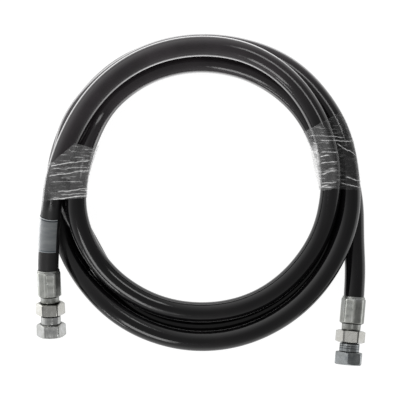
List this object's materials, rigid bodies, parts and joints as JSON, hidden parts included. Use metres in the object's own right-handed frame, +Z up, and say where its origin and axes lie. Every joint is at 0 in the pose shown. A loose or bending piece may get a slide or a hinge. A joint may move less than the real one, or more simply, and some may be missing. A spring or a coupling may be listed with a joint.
{
  "type": "hydraulic hose assembly",
  "caption": "Coiled wire-braid hydraulic hose held by film bands, with a crimped ferrule, fixed hexagon stem and loose swivel nut on each end.",
  "frame": {"origin": "on the resting surface, under the middle of the whole object's box", "axes": "+Z up, square to the coil's plane; +Y from the fittings towards the far side of the coil; +X from the left fitting to the right one"},
  "size_m": [0.3056, 0.3061, 0.0624],
  "materials": {
    "cover_rubber": "smooth glossy black rubber with a faint cloth wrap mark",
    "braid_steel": "brass-plated steel wire braid",
    "tube_rubber": "matt black nitrile rubber",
    "tape_film": "clear stretch film with creases",
    "label_film": "blank grey-blue label under clear film",
    "ferrule_zinc": "zinc plated, pressed flats",
    "stem_zinc": "zinc plated, turned",
    "nut_zinc": "zinc plated, bright",
    "wire_steel": "drawn spring steel",
    "seal_rubber": "moulded nitrile rubber"
  },
  "bodies": {
    "root": {"hose_cover": "cover_rubber", "hose_wire_braid": "braid_steel", "hose_inner_tube": "tube_rubber", "label_wrap": "label_film", "left_tape_band": "tape_film", "right_tape_band": "tape_film", "left_ferrule": "ferrule_zinc", "left_stem": "stem_zinc", "left_cone_o_ring": "seal_rubber", "right_ferrule": "ferrule_zinc", "right_stem": "stem_zinc", "right_cone_o_ring": "seal_rubber"},
    "left_wire": {"left_thrust_wire": "wire_steel"},
    "left_nut": {"left_swivel_nut": "nut_zinc"},
    "right_wire": {"right_thrust_wire": "wire_steel"},
    "right_nut": {"right_swivel_nut": "nut_zinc"}
  },
  "joints": [
    {"name": "left_nut_float", "type": "slide", "parent": "root", "child": "left_wire", "axis": [0.0375, -0.9774, -0.2079], "range_m": [-0.0004, 0.0004]},
    {"name": "left_nut_spin", "type": "hinge", "parent": "left_wire", "child": "left_nut", "pos_m": [-0.13842, -0.11023, 0.01516], "axis": [0.0375, -0.9774, -0.2079], "continuous": true},
    {"name": "right_nut_float", "type": "slide", "parent": "root", "child": "right_wire", "axis": [-0.0889, -0.996, 0], "range_m": [-0.0004, 0.0004]},
    {"name": "right_nut_spin", "type": "hinge", "parent": "right_wire", "child": "right_nut", "pos_m": [0.13768, -0.13641, 0.0139], "axis": [-0.0889, -0.996, 0], "continuous": true}
  ]
}
